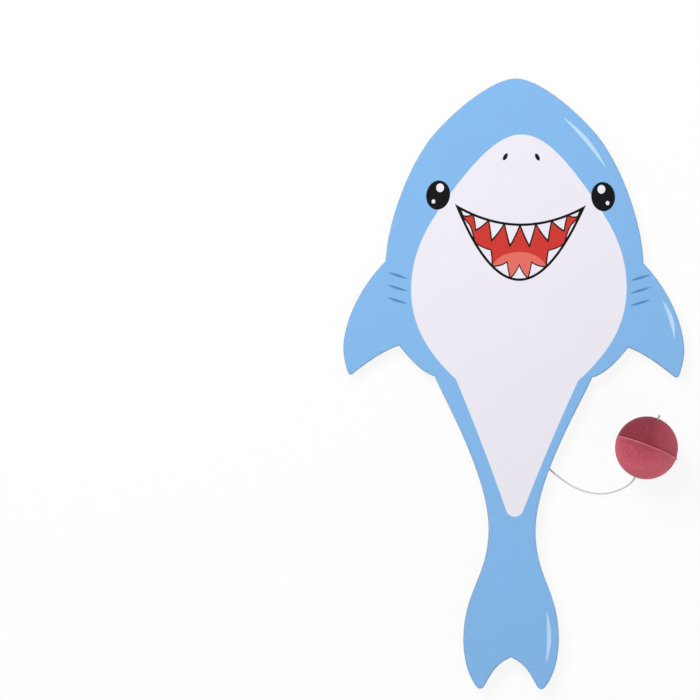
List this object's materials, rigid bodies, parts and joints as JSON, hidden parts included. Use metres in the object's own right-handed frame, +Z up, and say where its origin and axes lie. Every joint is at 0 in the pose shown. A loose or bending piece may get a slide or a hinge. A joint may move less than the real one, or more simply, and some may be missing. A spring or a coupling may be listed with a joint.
{
  "type": "paddle ball game",
  "caption": "Flat shark-shaped toy paddle with a tail for a handle and a rubber ball on a limp elastic cord that is stapled to its back, for bouncing the ball.",
  "frame": {"origin": "middle of the box of the paddle, on the surface that it lies on", "axes": "+Y along the paddle towards the nose, +X to the right of the printed face, +Z up out of the printed face"},
  "size_m": [0.1488, 0.2664, 0.028],
  "materials": {
    "fibreboard": "smooth fibreboard, bare back and edge",
    "print": "satin printed film",
    "steel_wire": "bright wire",
    "elastic": "matt, slightly see-through",
    "ball_rubber": "dusty matt"
  },
  "bodies": {
    "paddle": {"paddle_board": "fibreboard", "front_print": "print", "paddle_staple": "steel_wire", "cord_anchor": "elastic"},
    "cord_bend": {"cord_root": "elastic"},
    "free_cord": {"elastic_cord": "elastic"},
    "ball_core": {"cord_in_ball": "elastic", "end_clip": "steel_wire"},
    "ball": {"ball": "ball_rubber"}
  },
  "joints": [
    {"name": "cord_swing", "type": "hinge", "parent": "paddle", "child": "cord_bend", "pos_m": [0.00089, 0.00152, 0.00042], "axis": [0.4991, 0.8666, 0], "range_deg": [0, 165]},
    {"name": "cord_sweep", "type": "hinge", "parent": "cord_bend", "child": "free_cord", "pos_m": [0.00455, 0.0035, 0.00045], "axis": [0, 0, 1], "range_deg": [-18, 16]},
    {"name": "cord_stretch", "type": "slide", "parent": "free_cord", "child": "ball_core", "axis": [0.8666, -0.4991, 0], "range_m": [0, 0.3], "stiffness_N_per_m": 7, "deforming": ["elastic_cord"]},
    {"name": "ball_twist", "type": "hinge", "parent": "ball_core", "child": "ball", "pos_m": [0.058, -0.0273, 0.01399], "axis": [0.3315, 0.8914, 0.309], "continuous": true}
  ]
}
